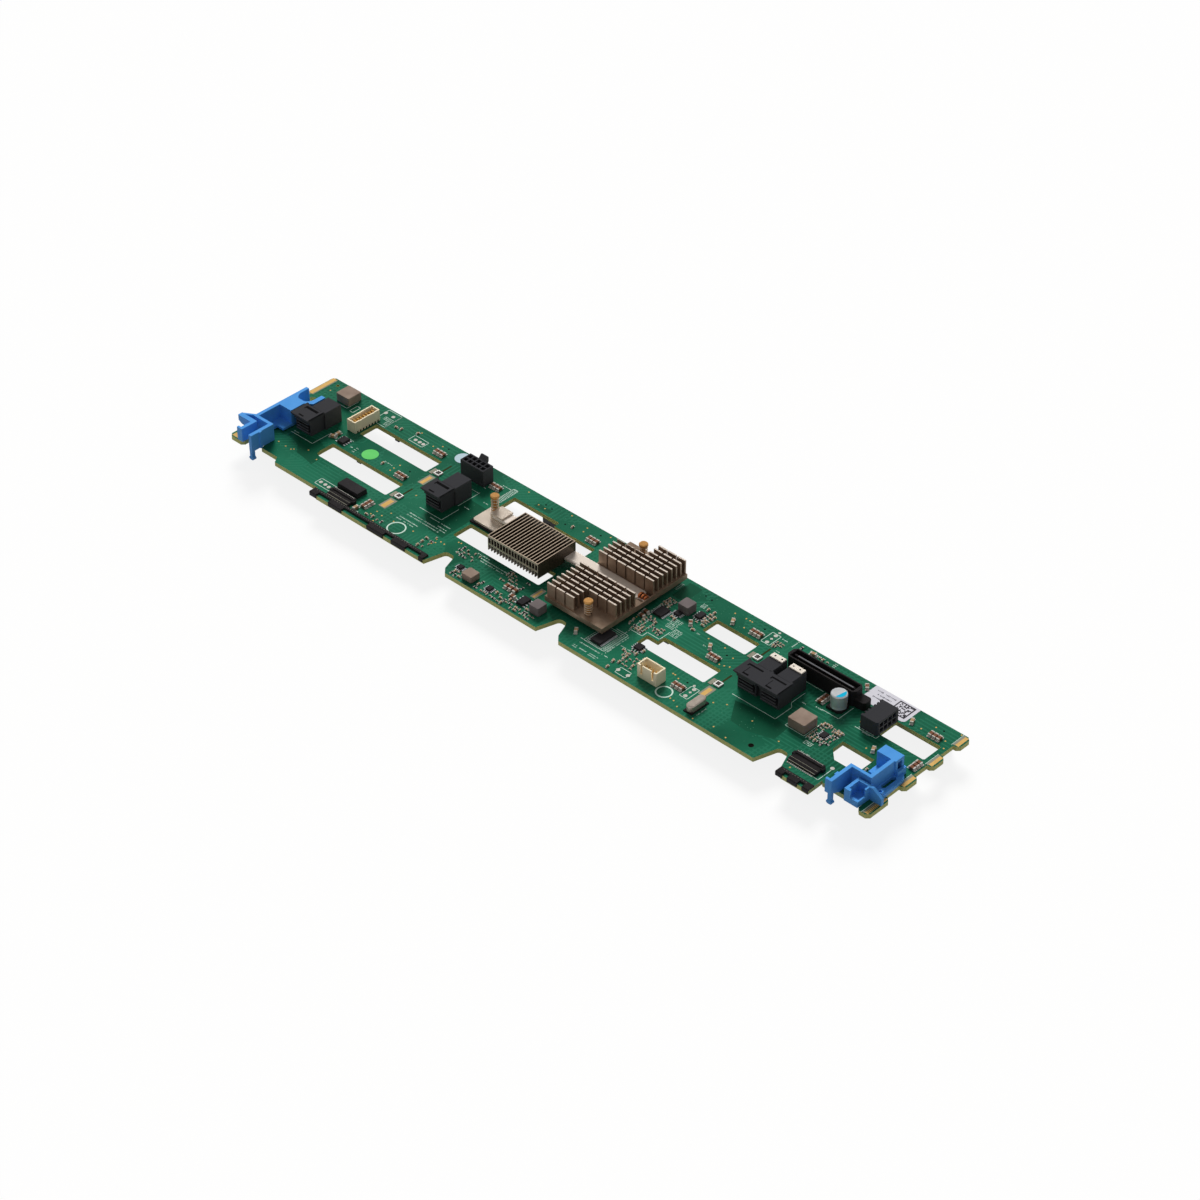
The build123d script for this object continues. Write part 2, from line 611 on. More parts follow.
def sink_pins():
    """Brass pins: bevelled round cap, eight-sided shank and a barb that snaps in under the board."""
    bevel = PIN_CAP_BEVEL
    rim, under = PIN_TOP - bevel, PIN_TOP - PIN_CAP_HEIGHT
    half_barb = PIN_BARB_THICKNESS / 2
    profile = Polygon(
        (0, under), (PIN_CAP_RADIUS, under), (PIN_CAP_RADIUS, rim), (PIN_CAP_RADIUS - bevel, PIN_TOP),
        (0, PIN_TOP), align=None)
    pins = []
    for x, y in pin_places():
        cap = Pos(x, y, 0) * revolve(Plane.XZ * profile, Axis.Z)
        foot = UNDERSIDE - PIN_BARB_HEIGHT / 4
        shank = Pos(x, y, foot) * extrude(RegularPolygon(PIN_SHANK_RADIUS, PIN_SIDES), under + 0.1 - foot)
        tip = (x, UNDERSIDE - PIN_BARB_HEIGHT)
        wings = [(x - PIN_BARB_RADIUS, UNDERSIDE), tip, (x + PIN_BARB_RADIUS, UNDERSIDE)]
        barb = along_y(wings, y - half_barb, y + half_barb)
        pins.append(cap + shank + barb)
    return pins


def spring_sleeve(x, y, seat):
    """Outer form of a close coil spring between its seat and a pin's cap, with flat sides."""
    outer, inner = SPRING_RADIUS + SPRING_WIRE_RADIUS, SPRING_RADIUS - SPRING_WIRE_RADIUS
    ring = RegularPolygon(outer, SPRING_SIDES) - RegularPolygon(inner, SPRING_SIDES)
    return Pos(x, y, seat) * extrude(ring, PIN_TOP - PIN_CAP_HEIGHT - seat)


def pin_springs():
    """Springs under the three pin caps."""
    front, back, bracket = pin_places()
    sleeves = [spring_sleeve(x, y, SINK_FLOOR) for x, y in (front, back)]
    return sleeves + [spring_sleeve(*bracket, BRACKET_TOP)]


# Right-angle data connectors
def port_shell(x, rear_shift, rear_width=PORT_REAR_WIDTH):
    """One connector without its mouth: stepped front housing and a narrower rear."""
    half = PORT_WIDTH / 2
    top, front = PORT_HEIGHT, PORT_FRONT_Y
    housing_back = front + PORT_FRONT_LENGTH
    back = front + PORT_LENGTH
    lip, shelf = top - PORT_LIP_DEPTH, top - PORT_SHELF_DEPTH
    upper = [(housing_back, lip), (housing_back, top), (front, top), (front, lip)]
    lower = [
        (front + PORT_STEP, 0), (housing_back, 0), (housing_back, lip), (front + PORT_LIP_STEP, lip),
        (front + PORT_LIP_STEP, shelf), (front + PORT_STEP, shelf),
    ]
    lower_half = half - PORT_SIDE_STEP
    shell = along_x(upper, x - half, x + half) + along_x(lower, x - lower_half, x + lower_half)
    rear = x + rear_shift
    rear_half = rear_width / 2
    shell += block(rear - rear_half, rear + rear_half, housing_back, back, 0, PORT_REAR_HEIGHT)
    split = housing_back - PORT_SPLIT_WIDTH
    split_half = half - PORT_SPLIT_MARGIN
    shell -= block(x - split_half, x + split_half, split, housing_back, top - PORT_SPLIT_DEPTH, top + 1)
    key = PORT_KEY_WIDTH / 2
    key_y = front + PORT_KEY_SETBACK
    shell -= block(x - key, x + key, key_y, key_y + PORT_KEY_DEPTH, top - PORT_KEY_SINK, top + 1)
    return shell


def port_mouth(x):
    """Cut that leaves a contact tongue standing in the connector's mouth."""
    half = PORT_WIDTH / 2 - PORT_WALL
    bottom, top = PORT_MOUTH_BOTTOM, PORT_MOUTH_BOTTOM + PORT_MOUTH_HEIGHT
    front, back = PORT_FRONT_Y - 1, PORT_FRONT_Y + PORT_MOUTH_DEPTH
    middle = (bottom + top) / 2
    tongue = PORT_TONGUE_THICKNESS / 2
    mouth = block(x - half, x + half, front, back, bottom, top)
    tip = PORT_FRONT_Y + PORT_TONGUE_SETBACK
    tongue_half = half - PORT_TONGUE_MARGIN
    return mouth - block(x - tongue_half, x + tongue_half, tip, back + 1, middle - tongue, middle + tongue)


def single_port(x, rear_shift):
    """Single data connector."""
    return port_shell(x, rear_shift) - port_mouth(x)


DOUBLE_PORT_X = COLUMN_X[3] - 36.75
PORT_PAIR_SHIFTS = (2.6, 0.5)


def double_port():
    """Two data connectors in one housing."""
    places = [DOUBLE_PORT_X - PORT_PAIR_PITCH / 2, DOUBLE_PORT_X + PORT_PAIR_PITCH / 2]
    left, right = places
    housing = port_shell(left, PORT_PAIR_SHIFTS[0], PORT_PAIR_REAR_WIDTH)
    housing += port_shell(right, PORT_PAIR_SHIFTS[1], PORT_PAIR_REAR_WIDTH)
    bridge_front = PORT_FRONT_Y + 2 * PORT_STEP
    bridge_back = PORT_FRONT_Y + PORT_FRONT_LENGTH - 2 * PORT_SPLIT_WIDTH
    gap = (PORT_PAIR_PITCH - PORT_WIDTH) / 2 + PORT_SIDE_STEP
    bridge_top = PORT_HEIGHT - PORT_BRIDGE_DROP
    housing += block(DOUBLE_PORT_X - gap, DOUBLE_PORT_X + gap, bridge_front, bridge_back, 0, bridge_top)
    return housing - [port_mouth(x) for x in places]


def double_port_strips():
    """Spring strips behind the double connector's housings."""
    back = PORT_FRONT_Y + PORT_LENGTH
    half = PORT_PAIR_REAR_WIDTH / 2 - PORT_STRIP_MARGIN
    strips = []
    for side, shift in zip((-1, 1), PORT_PAIR_SHIFTS):
        x = DOUBLE_PORT_X + side * PORT_PAIR_PITCH / 2 + shift
        z0, z1 = PORT_REAR_HEIGHT, PORT_REAR_HEIGHT + PORT_STRIP_HEIGHT
        strips.append(block(x - half, x + half, back - PORT_STRIP_LENGTH, back, z0, z1))
    return strips


# Headers
def cell_places(x, y, columns, rows, pitch):
    """Grid of places centred on a point."""
    offsets_x = [(column - (columns - 1) / 2) * pitch for column in range(columns)]
    offsets_y = [(row - (rows - 1) / 2) * pitch for row in range(rows)]
    return [(x + dx, y + dy) for dy in offsets_y for dx in offsets_x]


POWER_X = COLUMN_X[1] - 39.6
POWER_Y = 26.9


def power_header():
    """Vertical power header: one deep cell for each pin and a latch hook on its back."""
    half = (POWER_COLUMNS * POWER_PITCH + POWER_END_MARGIN) / 2
    deep = POWER_DEPTH / 2
    body = block(POWER_X - half, POWER_X + half, POWER_Y - deep, POWER_Y + deep, 0, POWER_HEIGHT)
    back = POWER_Y + deep
    tip, top = back + POWER_HOOK_DEPTH, POWER_HEIGHT + POWER_HOOK_RISE
    hook = [
        (back, POWER_HEIGHT / 3), (tip, POWER_HEIGHT - POWER_HOOK_BEVEL), (tip, top - POWER_HOOK_BEVEL / 2),
        (tip - POWER_HOOK_BEVEL, top), (back, POWER_HEIGHT),
    ]
    body += along_x(hook, POWER_X - POWER_HOOK_WIDTH / 2, POWER_X + POWER_HOOK_WIDTH / 2)
    cell = POWER_CELL / 2
    floor = POWER_HEIGHT - POWER_CELL_DEPTH
    cells = [
        block(x - cell, x + cell, y - cell, y + cell, floor, POWER_HEIGHT + 1)
        for x, y in cell_places(POWER_X, POWER_Y, POWER_COLUMNS, 2, POWER_PITCH)]
    return body - cells


def power_pins():
    """Square pins standing in the power header's cells."""
    floor = POWER_HEIGHT - POWER_CELL_DEPTH
    half = POWER_PIN_SIDE / 2
    places = cell_places(POWER_X, POWER_Y, POWER_COLUMNS, 2, POWER_PITCH)
    return [block(x - half, x + half, y - half, y + half, floor, floor + POWER_PIN_HEIGHT) for x, y in places]


SIDE_HEADER_X0 = COLUMN_X[3] + 10.0
SIDE_HEADER_Y = 18.2


def side_cells():
    """Middles of the side header's cells as (y, z)."""
    rows = [SIDE_HEADER_HEIGHT / 2 - SIDE_HEADER_PITCH / 2, SIDE_HEADER_HEIGHT / 2 + SIDE_HEADER_PITCH / 2]
    first = SIDE_HEADER_Y - (SIDE_HEADER_COLUMNS - 1) * SIDE_HEADER_PITCH / 2
    return [(first + column * SIDE_HEADER_PITCH, z) for column in range(SIDE_HEADER_COLUMNS) for z in rows]


def side_header():
    """Right-angle power header whose cells open towards the board's right-hand end."""
    x0, x1 = SIDE_HEADER_X0, SIDE_HEADER_X0 + SIDE_HEADER_LENGTH
    half = SIDE_HEADER_WIDTH / 2
    body = block(x0, x1, SIDE_HEADER_Y - half, SIDE_HEADER_Y + half, 0, SIDE_HEADER_HEIGHT)
    corner = body.edges().filter_by(Axis.Z).group_by(Axis.Y)[0]
    body = fillet(corner.sort_by(Axis.X)[-1], SIDE_HEADER_CORNER)
    cell = POWER_CELL / 2
    mouth = x1 - SIDE_HEADER_CELL_DEPTH
    cells = [block(mouth, x1 + 1, y - cell, y + cell, z - cell, z + cell) for y, z in side_cells()]
    comb_pitch = SIDE_HEADER_WIDTH / (SIDE_HEADER_TEETH + 1)
    grooves = []
    for tooth in range(SIDE_HEADER_TEETH):
        y = SIDE_HEADER_Y - half + (tooth + 0.75) * comb_pitch
        depth = x0 + SIDE_HEADER_TOOTH_DEPTH
        low = SIDE_HEADER_TOOTH_BOTTOM
        grooves.append(block(x0 - 1, depth, y, y + comb_pitch / 2, low, SIDE_HEADER_HEIGHT + 1))
    return body - cells - grooves


def side_header_pins():
    """Square pins lying in the side header's cells."""
    x1 = SIDE_HEADER_X0 + SIDE_HEADER_LENGTH
    half = POWER_PIN_SIDE / 2
    base = x1 - SIDE_HEADER_CELL_DEPTH
    tip = x1 - SIDE_HEADER_PIN_SETBACK
    return [block(base, tip, y - half, y + half, z - half, z + half) for y, z in side_cells()]


FAN_HEADER_X = LEFT + 43.0
FAN_HEADER_Y = 19.85


def fan_header():
    """Ivory shrouded header for two rows of pins, with key slots in one long side."""
    half = FAN_HEADER_DEPTH / 2
    long_half = (FAN_HEADER_PINS * FAN_HEADER_PITCH + FAN_HEADER_END_MARGIN) / 2
    x, y = FAN_HEADER_X, FAN_HEADER_Y
    wall = IVORY_WALL
    top = FAN_HEADER_HEIGHT
    body = block(x - half, x + half, y - long_half, y + long_half, 0, top)
    inner, long_inner = half - wall, long_half - wall
    body -= block(x - inner, x + inner, y - long_inner, y + long_inner, IVORY_FLOOR, top + 1)
    key = FAN_KEY_WIDTH / 2
    for middle in (y - FAN_KEY_OFFSET, y + FAN_KEY_OFFSET):
        body -= block(x, x + half + 1, middle - key, middle + key, FAN_KEY_BOTTOM, top + 1)
    return body


def fan_header_pins():
    """Two rows of square pins."""
    half = IVORY_PIN_SIDE / 2
    places = cell_places(FAN_HEADER_X, FAN_HEADER_Y, 2, FAN_HEADER_PINS, FAN_HEADER_PITCH)
    top = FAN_HEADER_HEIGHT - FAN_PIN_SETBACK
    return [block(x - half, x + half, y - half, y + half, IVORY_FLOOR, top) for x, y in places]


SENSE_HEADER_X = COLUMN_X[2] + 24.7
SENSE_HEADER_Y = -28.75


def sense_header():
    """Ivory shrouded header for one row of pins, with two key slots in its front."""
    half = (SENSE_HEADER_PINS * SENSE_HEADER_PITCH + SENSE_HEADER_END_MARGIN) / 2
    deep = SENSE_HEADER_DEPTH / 2
    x, y, wall, top = SENSE_HEADER_X, SENSE_HEADER_Y, IVORY_WALL, SENSE_HEADER_HEIGHT
    body = block(x - half, x + half, y - deep, y + deep, 0, top)
    inner, deep_inner = half - wall, deep - wall
    body -= block(x - inner, x + inner, y - deep_inner, y + deep_inner, IVORY_FLOOR, top + 1)
    key = SENSE_KEY_WIDTH / 2
    for middle in (x - SENSE_KEY_OFFSET, x + SENSE_KEY_OFFSET):
        body -= block(middle - key, middle + key, y - deep - 1, y, SENSE_KEY_BOTTOM, top + 1)
    return body


def sense_header_pins():
    """One row of square pins."""
    half = IVORY_PIN_SIDE / 2
    places = cell_places(SENSE_HEADER_X, SENSE_HEADER_Y, SENSE_HEADER_PINS, 1, SENSE_HEADER_PITCH)
    top = SENSE_HEADER_HEIGHT - SENSE_PIN_SETBACK
    return [block(x - half, x + half, y - half, y + half, IVORY_FLOOR, top) for x, y in places]


CARD_SLOT_X0 = COLUMN_X[3] - 42.0
CARD_SLOT_Y = 22.85


def card_slot():
    """Card edge slot: an open well with thin walls, a contact blade along it and a low end block."""
    x0, x1 = CARD_SLOT_X0, CARD_SLOT_X0 + CARD_SLOT_LENGTH
    deep, wall = CARD_SLOT_DEPTH / 2, CARD_SLOT_END_WALL
    y, top = CARD_SLOT_Y, CARD_SLOT_HEIGHT
    body = extrude(rectangle(x0, x1, y - deep, y + deep, CARD_SLOT_CORNER_CUT), top)
    foot_deep = deep - CARD_SLOT_FOOT_INSET
    foot_start, foot_end = x1 - CARD_SLOT_FOOT_OVERLAP, x1 + CARD_SLOT_FOOT_LENGTH
    foot = rectangle(foot_start, foot_end, y - foot_deep, y + foot_deep, CARD_SLOT_FOOT_CUT)
    body += extrude(foot, CARD_SLOT_FOOT_HEIGHT)
    well, floor = deep - CARD_SLOT_SIDE_WALL, top - CARD_SLOT_WELL_DEPTH
    body -= block(x0 + wall, x1 - wall, y - well, y + well, floor, top + 1)
    blade, margin = CARD_SLOT_BLADE / 2, CARD_SLOT_BLADE_MARGIN
    return body + block(x0 + margin, x1 - margin, y - blade, y + blade, floor, top - CARD_SLOT_BLADE_DROP)


# Surface parts
CHOKES = [
    (LEFT + 20.95, 30.05, 9.5, 9.3, 4.8),
    (COLUMN_X[3] - 9.55, -6.05, 10.1, 9.7, 5.0),
    (COLUMN_X[2] + 2.35, 20.0, 6.7, 6.6, 4.8),
    (COLUMN_X[1] + 16.8, -32.85, 6.8, 6.3, 3.5),
    (COLUMN_X[2] - 47.9, -29.2, 6.4, 6.4, 4.8),
]


def power_chokes():
    """Moulded chokes with bevelled upright corners."""
    chokes = []
    for x, y, width, depth, height in CHOKES:
        outline = chamfer(Rectangle(width, depth).vertices(), CHOKE_EDGE)
        chokes.append(Pos(x, y) * extrude(outline, height))
    return chokes


CAN_X = COLUMN_X[3] - 6.0
CAN_Y = 14.8


def can_base():
    """Moulded base with two cut corners under the can."""
    half = CAN_BASE_SIDE / 2
    outline = Rectangle(CAN_BASE_SIDE, CAN_BASE_SIDE)
    outline = chamfer(outline.vertices().filter_by_position(Axis.X, half - 0.1, half + 0.1), CAN_BASE_CUT)
    return Pos(CAN_X, CAN_Y) * extrude(outline, CAN_BASE_HEIGHT)


def can_capacitor():
    """Aluminium can with a rolled groove and a rounded rim."""
    low = CAN_BASE_HEIGHT
    roll = low + CAN_ROLL_HEIGHT
    radius, waist, top = CAN_RADIUS, CAN_RADIUS - CAN_ROLL_DEPTH, CAN_TOP
    points = [
        (0, low), (radius, low), (waist, roll), (radius, roll + CAN_ROLL_RISE),
        (radius, top - CAN_RIM), (radius - CAN_RIM, top), (0, top),
    ]
    return Pos(CAN_X, CAN_Y, 0) * revolve(Plane.XZ * Polygon(*points, align=None), Axis.Z)


CRYSTAL_X = COLUMN_X[3] - 52.8
CRYSTAL_Y = -29.75


def crystal_can():
    """Long oval crystal can."""
    body = extrude(SlotOverall(CRYSTAL_LENGTH, CRYSTAL_WIDTH, rotation=90), CRYSTAL_HEIGHT)
    body = chamfer(body.edges().group_by(Axis.Z)[-1], CRYSTAL_BEVEL)
    return Pos(CRYSTAL_X, CRYSTAL_Y, CRYSTAL_BASE_HEIGHT) * body


def crystal_base():
    """Insulating seat under the crystal."""
    margin = 2 * CRYSTAL_BASE_MARGIN
    return Pos(CRYSTAL_X, CRYSTAL_Y) * extrude(
        Rectangle(CRYSTAL_WIDTH + margin, CRYSTAL_LENGTH + margin), CRYSTAL_BASE_HEIGHT)


LIGHTS = [(COLUMN_X[column] - LIGHT_OFFSET_X, y) for column in (1, 3) for y in (16.2, -10.8)]


def light_frames():
    """White frames round the status lights."""
    half, window = LIGHT_SIDE / 2, LIGHT_WINDOW / 2
    frames = []
    for x, y in LIGHTS:
        frame = block(x - half, x + half, y - half, y + half, 0, LIGHT_HEIGHT)
        floor = LIGHT_HEIGHT - LIGHT_WINDOW_DEPTH
        frames.append(frame - block(x - window, x + window, y - window, y + window, floor, LIGHT_HEIGHT + 1))
    return frames


def light_windows():
    """Dark lenses in the frames."""
    half = LIGHT_WINDOW / 2
    floor, top = LIGHT_HEIGHT - LIGHT_WINDOW_DEPTH, LIGHT_HEIGHT - LIGHT_WINDOW_DROP
    return [block(x - half, x + half, y - half, y + half, floor, top) for x, y in LIGHTS]


CHIPS = [
    (COLUMN_X[0] + 29.15, -23.0, 14.9, 6.8, 2.7),
    (COLUMN_X[2] - 5.35, 10.5, 5.5, 7.0, 1.2),
    (COLUMN_X[2] - 11.95, -22.25, 6.3, 11.5, 1.5),
    (COLUMN_X[3] + 2.35, -5.0, 3.3, 4.0, 1.0),
    (LEFT + 46.55, 2.65, 4.5, 5.3, 1.5),
    (COLUMN_X[2] + 9.95, 21.0, 3.5, 5.0, 1.4),
    (COLUMN_X[1] + 48.3, -28.65, 4.4, 6.3, 1.4),
    (COLUMN_X[1] + 7.6, -30.5, 3.0, 3.0, 1.2),
    (COLUMN_X[1] + 29.6, -32.75, 3.0, 3.5, 1.2),
    (COLUMN_X[2] + 5.3, -16.15, 4.2, 4.3, 1.2),
    (COLUMN_X[2] + 1.15, 14.9, 3.5, 3.2, 1.3),
]


def control_chips():
    """Moulded chips with drafted sides."""
    chips = []
    for x, y, width, depth, height in CHIPS:
        chips.append(Pos(x, y) * extrude(Rectangle(width, depth), height, taper=CHIP_DRAFT))
    return chips


RIBBON_PLACES = [(COLUMN_X[0] + 30.4, -31.4, 15.4, 6.2), (COLUMN_X[3] + 9.6, -25.6, 16.4, 7.2)]


def ribbon_connector(x, y, width, depth):
    """Low ribbon connector with a folded bar along its back."""
    half = width / 2
    front, back = y - depth / 2, y + depth / 2
    bar = back - RIBBON_BAR_DEPTH
    shelf = RIBBON_BAR_HEIGHT + RIBBON_SHELF_RISE
    side = [
        (front, 0), (back, 0), (back, RIBBON_HEIGHT), (bar, RIBBON_HEIGHT),
        (bar, shelf), (front + RIBBON_FRONT_SLOPE, shelf), (front, RIBBON_BAR_HEIGHT),
    ]
    body = along_x(side, x - half, x + half)
    ear, ear_back = RIBBON_EAR_WIDTH / 2, bar + RIBBON_EAR_DEPTH / 2
    ear_top = RIBBON_HEIGHT - RIBBON_EAR_DROP
    for end in (x - half, x + half):
        body += block(end - ear, end + ear, ear_back - RIBBON_EAR_DEPTH, ear_back, 0, ear_top)
    return body


LEFT_FINGERS = [(15.0, 19.8), (28.5, 38.1), (56.3, 67.8), (73.6, 83.2), (92.8, 95.7)]
RIGHT_FINGERS = [(2.8, 6.7), (9.5, 15.3), (18.2, 22.0)]


def edge_strip(origin, fingers):
    """Black guard strip along the front edge with fingers that turn down over it."""
    start, stop = origin + fingers[0][0], origin + fingers[-1][1]
    back, top = FRONT + EDGE_STRIP_INSET, EDGE_STRIP_HEIGHT
    strip = block(start, stop, back - EDGE_STRIP_DEPTH, back, 0, top)
    face, inner, bevel = FRONT - EDGE_FINGER_THICKNESS, FRONT + EDGE_FINGER_REACH, EDGE_FINGER_BEVEL
    hook = [
        (inner, 0), (FRONT, 0), (FRONT, -EDGE_FINGER_DROP), (face, -EDGE_FINGER_DROP),
        (face, top - bevel), (face + bevel, top), (inner, top),
    ]
    return strip + [along_x(hook, origin + x0, origin + x1) for x0, x1 in fingers]


def service_label():
    """Paper label at the back edge."""
    x0 = COLUMN_X[3] - 3.5
    outline = rectangle(x0, x0 + LABEL_WIDTH, BACK - LABEL_DEPTH, BACK)
    outline = fillet(outline.vertices().group_by(Axis.Y)[0].sort_by(Axis.X)[-1], LABEL_CORNER)
    return extrude(outline, LABEL_THICKNESS)


def round_stickers():
    """Two round inspection stickers."""
    places = [(COLUMN_X[0] + 13.1, 4.1, 4.4), (COLUMN_X[0] + 49.3, 34.0, 4.3)]
    discs = [Pos(x, y) * RegularPolygon(radius, STICKER_SIDES) for x, y, radius in places]
    return [extrude(disc, LABEL_THICKNESS) for disc in discs]


# Release latches
def prong(x, y):
    """Split foot that hangs past the board's front edge."""
    half = LATCH_WALL / 2 - 0.1
    spread = half + PRONG_FOOT_SPREAD
    wide_top, wide_bottom = PRONG_FOOT_TOP - PRONG_TAPER, PRONG_BOTTOM + PRONG_TAPER
    profile = [
        (x - half, PRONG_TAPER), (x - half, PRONG_FOOT_TOP), (x - spread, wide_top),
        (x - spread, wide_bottom), (x - half, PRONG_BOTTOM), (x + half, PRONG_BOTTOM),
        (x + spread, wide_bottom), (x + spread, wide_top), (x + half, PRONG_FOOT_TOP),
        (x + half, PRONG_TAPER),
    ]
    return along_y(profile, y, y + PRONG_DEPTH)


def left_latch():
    """Left release: fork with a round root, pocket, hooked bar, leg and arm in one moulding."""
    x0 = LEFT + 7.2
    wall, top = LATCH_WALL, LATCH_TOP
    inner = x0 + wall
    back, root, pocket_back, pocket_front = 13.6, 4.0, -6.4, -20.4
    block_right, fork_right = x0 + 10.3, x0 + 14.3
    fork_inner = fork_right - 2.7
    arm = fork_right - 1.3
    body = block(x0, block_right, pocket_back, root, 0, top)
    plate = LATCH_PLATE
    hollow_right, hollow_back = block_right - plate, root - plate
    body -= block(inner, hollow_right, pocket_back + plate, hollow_back, -1, top - plate)
    fork = plan([
        (x0, root - 1.5), (x0, back), (fork_right, back), (fork_right, root + 1.5),
        (block_right, root - 1.5),
    ], 0, top)
    fork -= block(inner, fork_inner, root + 4.4, back + 1, -1, top + 1)
    fork -= upright((fork_inner - inner) / 2, (inner + fork_inner) / 2, root + 4.4, -1, top + 1)
    body += fork - block(inner, hollow_right, root - 2 * plate, hollow_back, -1, top - plate)
    body += block(x0, inner, pocket_front - 0.5, pocket_back + 0.1, 0, top)
    floor = LATCH_FLOOR_TOP - LATCH_FLOOR_THICKNESS
    sill = pocket_back - 6.3
    body += block(inner - 0.1, block_right + 0.6, sill, pocket_back + 0.5, floor, LATCH_FLOOR_TOP)
    ramp_back, ramp_front = pocket_back - 6.2, pocket_back - 10.2
    ramp = [
        (ramp_back, floor), (ramp_back, LATCH_FLOOR_TOP), (ramp_back - 2.2, LATCH_FLOOR_TOP - 0.2),
        (ramp_front, floor + 0.4), (ramp_front, floor),
    ]
    body += along_x(ramp, inner - 0.1, inner + 4.5)
    body += block(x0, arm, pocket_front - wall + 0.2, pocket_front, 0, top)
    body += block(arm - wall - 0.1, arm, SHOULDER_Y - 2.1, pocket_front, 0, top)
    body += block(arm - 0.1, arm + 0.7, -30.3, -28.9, 0, top)
    body += prong(arm - wall / 2 - 0.1, SHOULDER_Y - 2.1)
    bar_back = pocket_front - 4.0
    hook_end, leg_right = x0 - 6.4, x0 + 5.0
    leg, low = leg_right - wall, top - HOOK_HEIGHT
    hook = [
        (hook_end, top), (hook_end, top - 3.2), (hook_end + 2.5, low), (leg + 0.5, low),
        (leg_right, LEG_BOTTOM), (leg_right, top),
    ]
    body += along_y(hook, bar_back - HOOK_DEPTH, bar_back)
    leg_front = SHOULDER_Y - LATCH_PAD_DEPTH
    body += block(leg, leg_right, leg_front, bar_back, LEG_BOTTOM, top)
    body += block(leg_right - LATCH_PAD_WIDTH, leg_right, leg_front, SHOULDER_Y, LEG_BOTTOM, top)
    body += plan([
        (hook_end, bar_back - 0.2), (hook_end + 1.0, bar_back - 0.8), (inner - 0.4, pocket_front - 0.6),
        (x0, pocket_front - 0.2),
    ], low, top)
    return body


def right_latch():
    """Right release: back block, stepped wall, slotted floor, front box and arm in one moulding."""
    x1 = RIGHT - 8.3
    wall, top = LATCH_WALL, LATCH_TOP
    inner = x1 - wall
    block_left = x1 - 10.1
    arm = inner - 11.0
    back, block_front, cross = 0.35, -5.65, -19.9
    body = block(block_left, x1 + 0.7, block_front, back, 0.9, top)
    plate = LATCH_PLATE
    body -= block(block_left + plate, x1 + 1.7, block_front + plate, back - plate, 0, top - plate)
    body += block(inner, x1, cross - 1.6, block_front + 0.1, 0, top)
    sill, sill_top = block_front - 5.7, LATCH_FLOOR_TOP - 0.4
    body += block(block_left + 0.2, inner + 0.1, sill, block_front + 0.6, 0.3, sill_top)
    body += block(arm, x1, cross - 1.6, cross, 0, top)
    arm_front, arm_right = SHOULDER_Y - 2.0, arm + wall - 0.1
    pad_back = arm_front + LATCH_PAD_DEPTH
    arm_side = [
        (cross - 1, 0), (LATCH_EDGE_Y + 0.5, 0), (pad_back, LEG_BOTTOM), (arm_front, LEG_BOTTOM),
        (arm_front, top), (cross - 1, top),
    ]
    body += along_x(arm_side, arm, arm_right)
    body += block(arm - 0.8, arm + 0.1, -30.4, -28.2, 2.4, top)
    body += block(arm_right - LATCH_PAD_WIDTH, arm_right, arm_front, pad_back, LEG_BOTTOM, top)
    body += Pos(0, 0, LEG_BOTTOM - PRONG_TAPER) * prong(arm_right - wall / 2, arm_front)
    edge = RIGHT - 2.4
    floor = plan([
        (x1 - 0.1, back), (x1 + 0.9, back), (edge - 0.9, -4.5), (edge, -19.0), (edge, -23.0),
        (x1 - 0.1, -23.0),
    ], 0, LATCH_FLOOR_TOP - 0.2)
    floor += block(x1 + 0.6, x1 + 2.2, block_front, back, 0, 4.2)
    floor -= extrude(rectangle(x1 + 0.5, x1 + 2.9, -16.0, -6.4, 1.0), LATCH_FLOOR_TOP + 3)
    body += floor
    body += upright(1.5, x1 + 4.2, -20.2, 0, 3.9) - upright(0.8, x1 + 4.2, -20.2, 2.6, 5)
    box_left, box_right, box_top = x1 - 6.3, x1 + 1.5, 7.1
    box_back, box_front = -22.6, -32.3
    end_wall = [(box_left, 0), (RIGHT, 0), (RIGHT, 3.6), (box_right + 1.5, box_top), (box_left, box_top)]
    body += along_y(end_wall, box_back - 1.6, box_back)
    box_shell = block(box_left, box_right, box_front, box_back, 0, box_top)
    well_right = box_right - 0.9
    box_shell -= block(box_left + plate, well_right, box_front + plate, box_back - plate, 1.4, box_top + 1)
    scoop = Pos(box_right - 1.6, box_front + 2.2) * Cylinder(3.4, 4 * box_top)
    box_shell -= scoop & block(box_left, box_right + 5, box_front - 1, box_back, 3.2, box_top + 1)
    body += box_shell
    body += block(box_left + 0.6, x1, cross - 3.0, cross - 1.0, 0, 3.2)
    return body


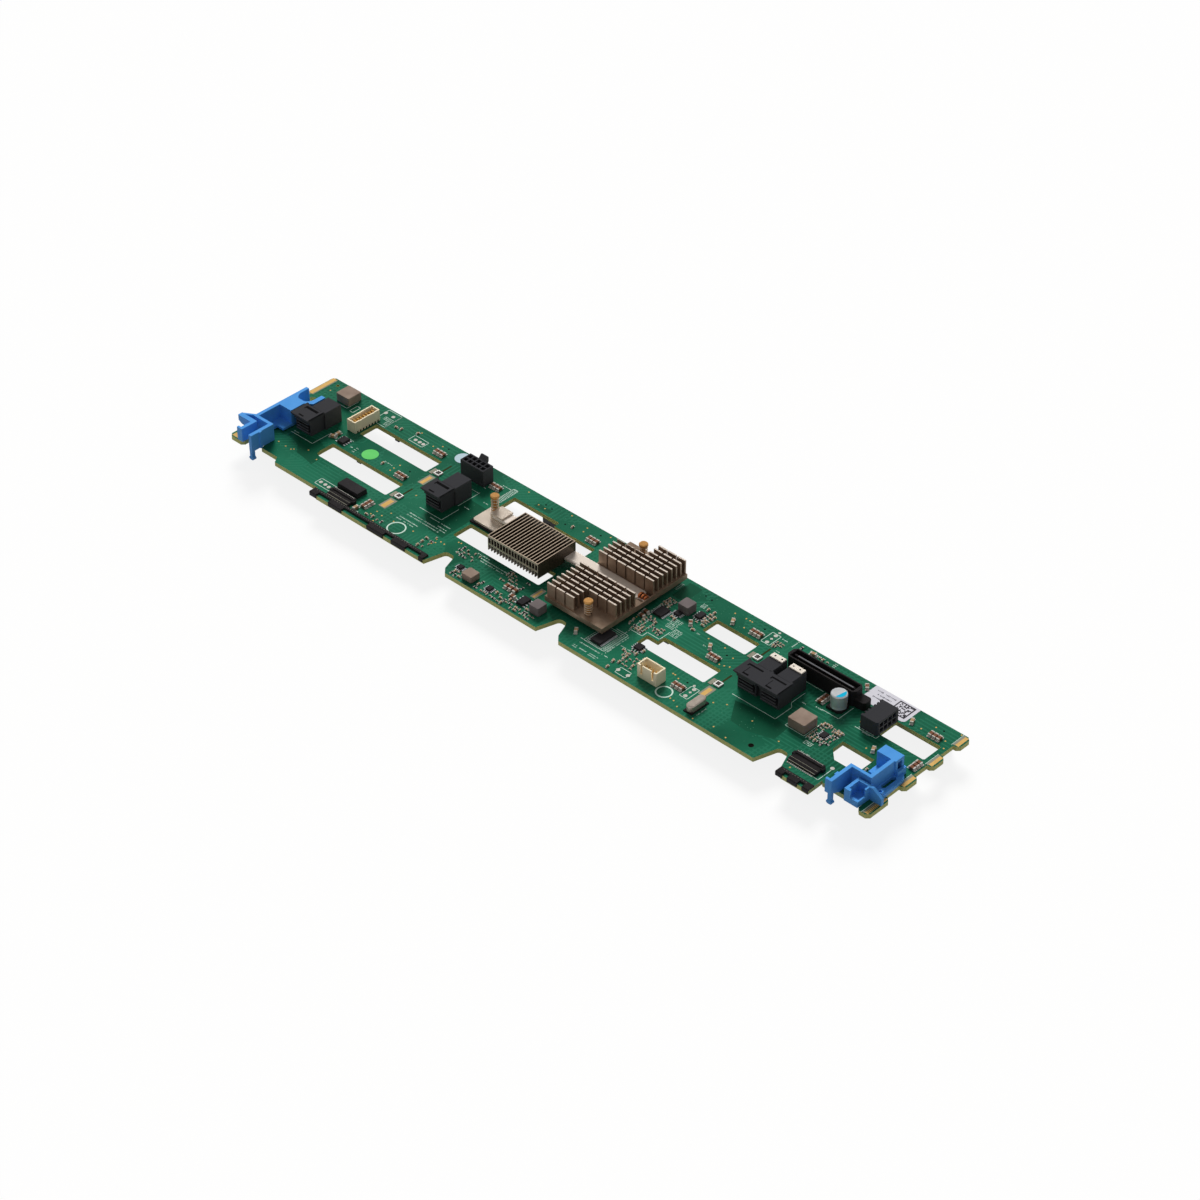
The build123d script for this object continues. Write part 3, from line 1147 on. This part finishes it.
def node_solids():
    """Every node's name and solids, in board coordinates with zero at the board's top face."""
    nodes = {
        "circuit_board": circuit_board(),
        "left_latch": left_latch(),
        "right_latch": right_latch(),
        "large_heat_sink": large_heat_sink(),
        "expander_chip": expander_chip(),
        "heat_pipe": heat_pipe(),
        "fin_stack": fin_stack(),
        "bracket_plate": bracket_plate(),
        "bracket_pad": bracket_pad(),
        "sink_pins": sink_pins(),
        "pin_springs": pin_springs(),
        "data_port_left": single_port(LEFT + 25.85, 1.9),
        "data_port_middle": single_port(COLUMN_X[1] - 36.85, 1.5),
        "data_port_double": double_port(),
        "double_port_strips": double_port_strips(),
        "power_header": power_header(),
        "power_header_pins": power_pins(),
        "side_header": side_header(),
        "side_header_pins": side_header_pins(),
        "fan_header": fan_header(),
        "fan_header_pins": fan_header_pins(),
        "sense_header": sense_header(),
        "sense_header_pins": sense_header_pins(),
        "card_slot": card_slot(),
        "power_chokes": power_chokes(),
        "can_capacitor": can_capacitor(),
        "can_base": can_base(),
        "crystal_can": crystal_can(),
        "crystal_base": crystal_base(),
        "light_frames": light_frames(),
        "light_windows": light_windows(),
        "control_chips": control_chips(),
        "ribbon_connector_left": ribbon_connector(*RIBBON_PLACES[0]),
        "ribbon_connector_right": ribbon_connector(*RIBBON_PLACES[1]),
        "edge_strip_left": edge_strip(COLUMN_X[0], LEFT_FINGERS),
        "edge_strip_right": edge_strip(COLUMN_X[3], RIGHT_FINGERS),
        "service_label": service_label(),
        "round_stickers": round_stickers(),
    }
    for row, y in enumerate(ROW_Y, start=1):
        for column, x in enumerate(COLUMN_X, start=1):
            nodes[f"drive_receptacle_{row}_{column}"] = drive_receptacle(x + RECEPTACLE_OFFSET_X, y)
    return nodes


# The part's origin is the middle of its box, on the plane that the receptacles rest on
FOREMOST_Y = FRONT - EDGE_FINGER_THICKNESS
ORIGIN = Pos(-(LEFT + RIGHT) / 2, -(BACK + FOREMOST_Y) / 2, -REST_Z)

os.makedirs("parts", exist_ok=True)
for name, solids in node_solids().items():
    group = solids if isinstance(solids, list) else [solids]
    placed = [ORIGIN * solid for item in group for solid in item.solids()]
    export_step(Compound(children=placed) if len(placed) > 1 else placed[0], f"parts/{name}.step")
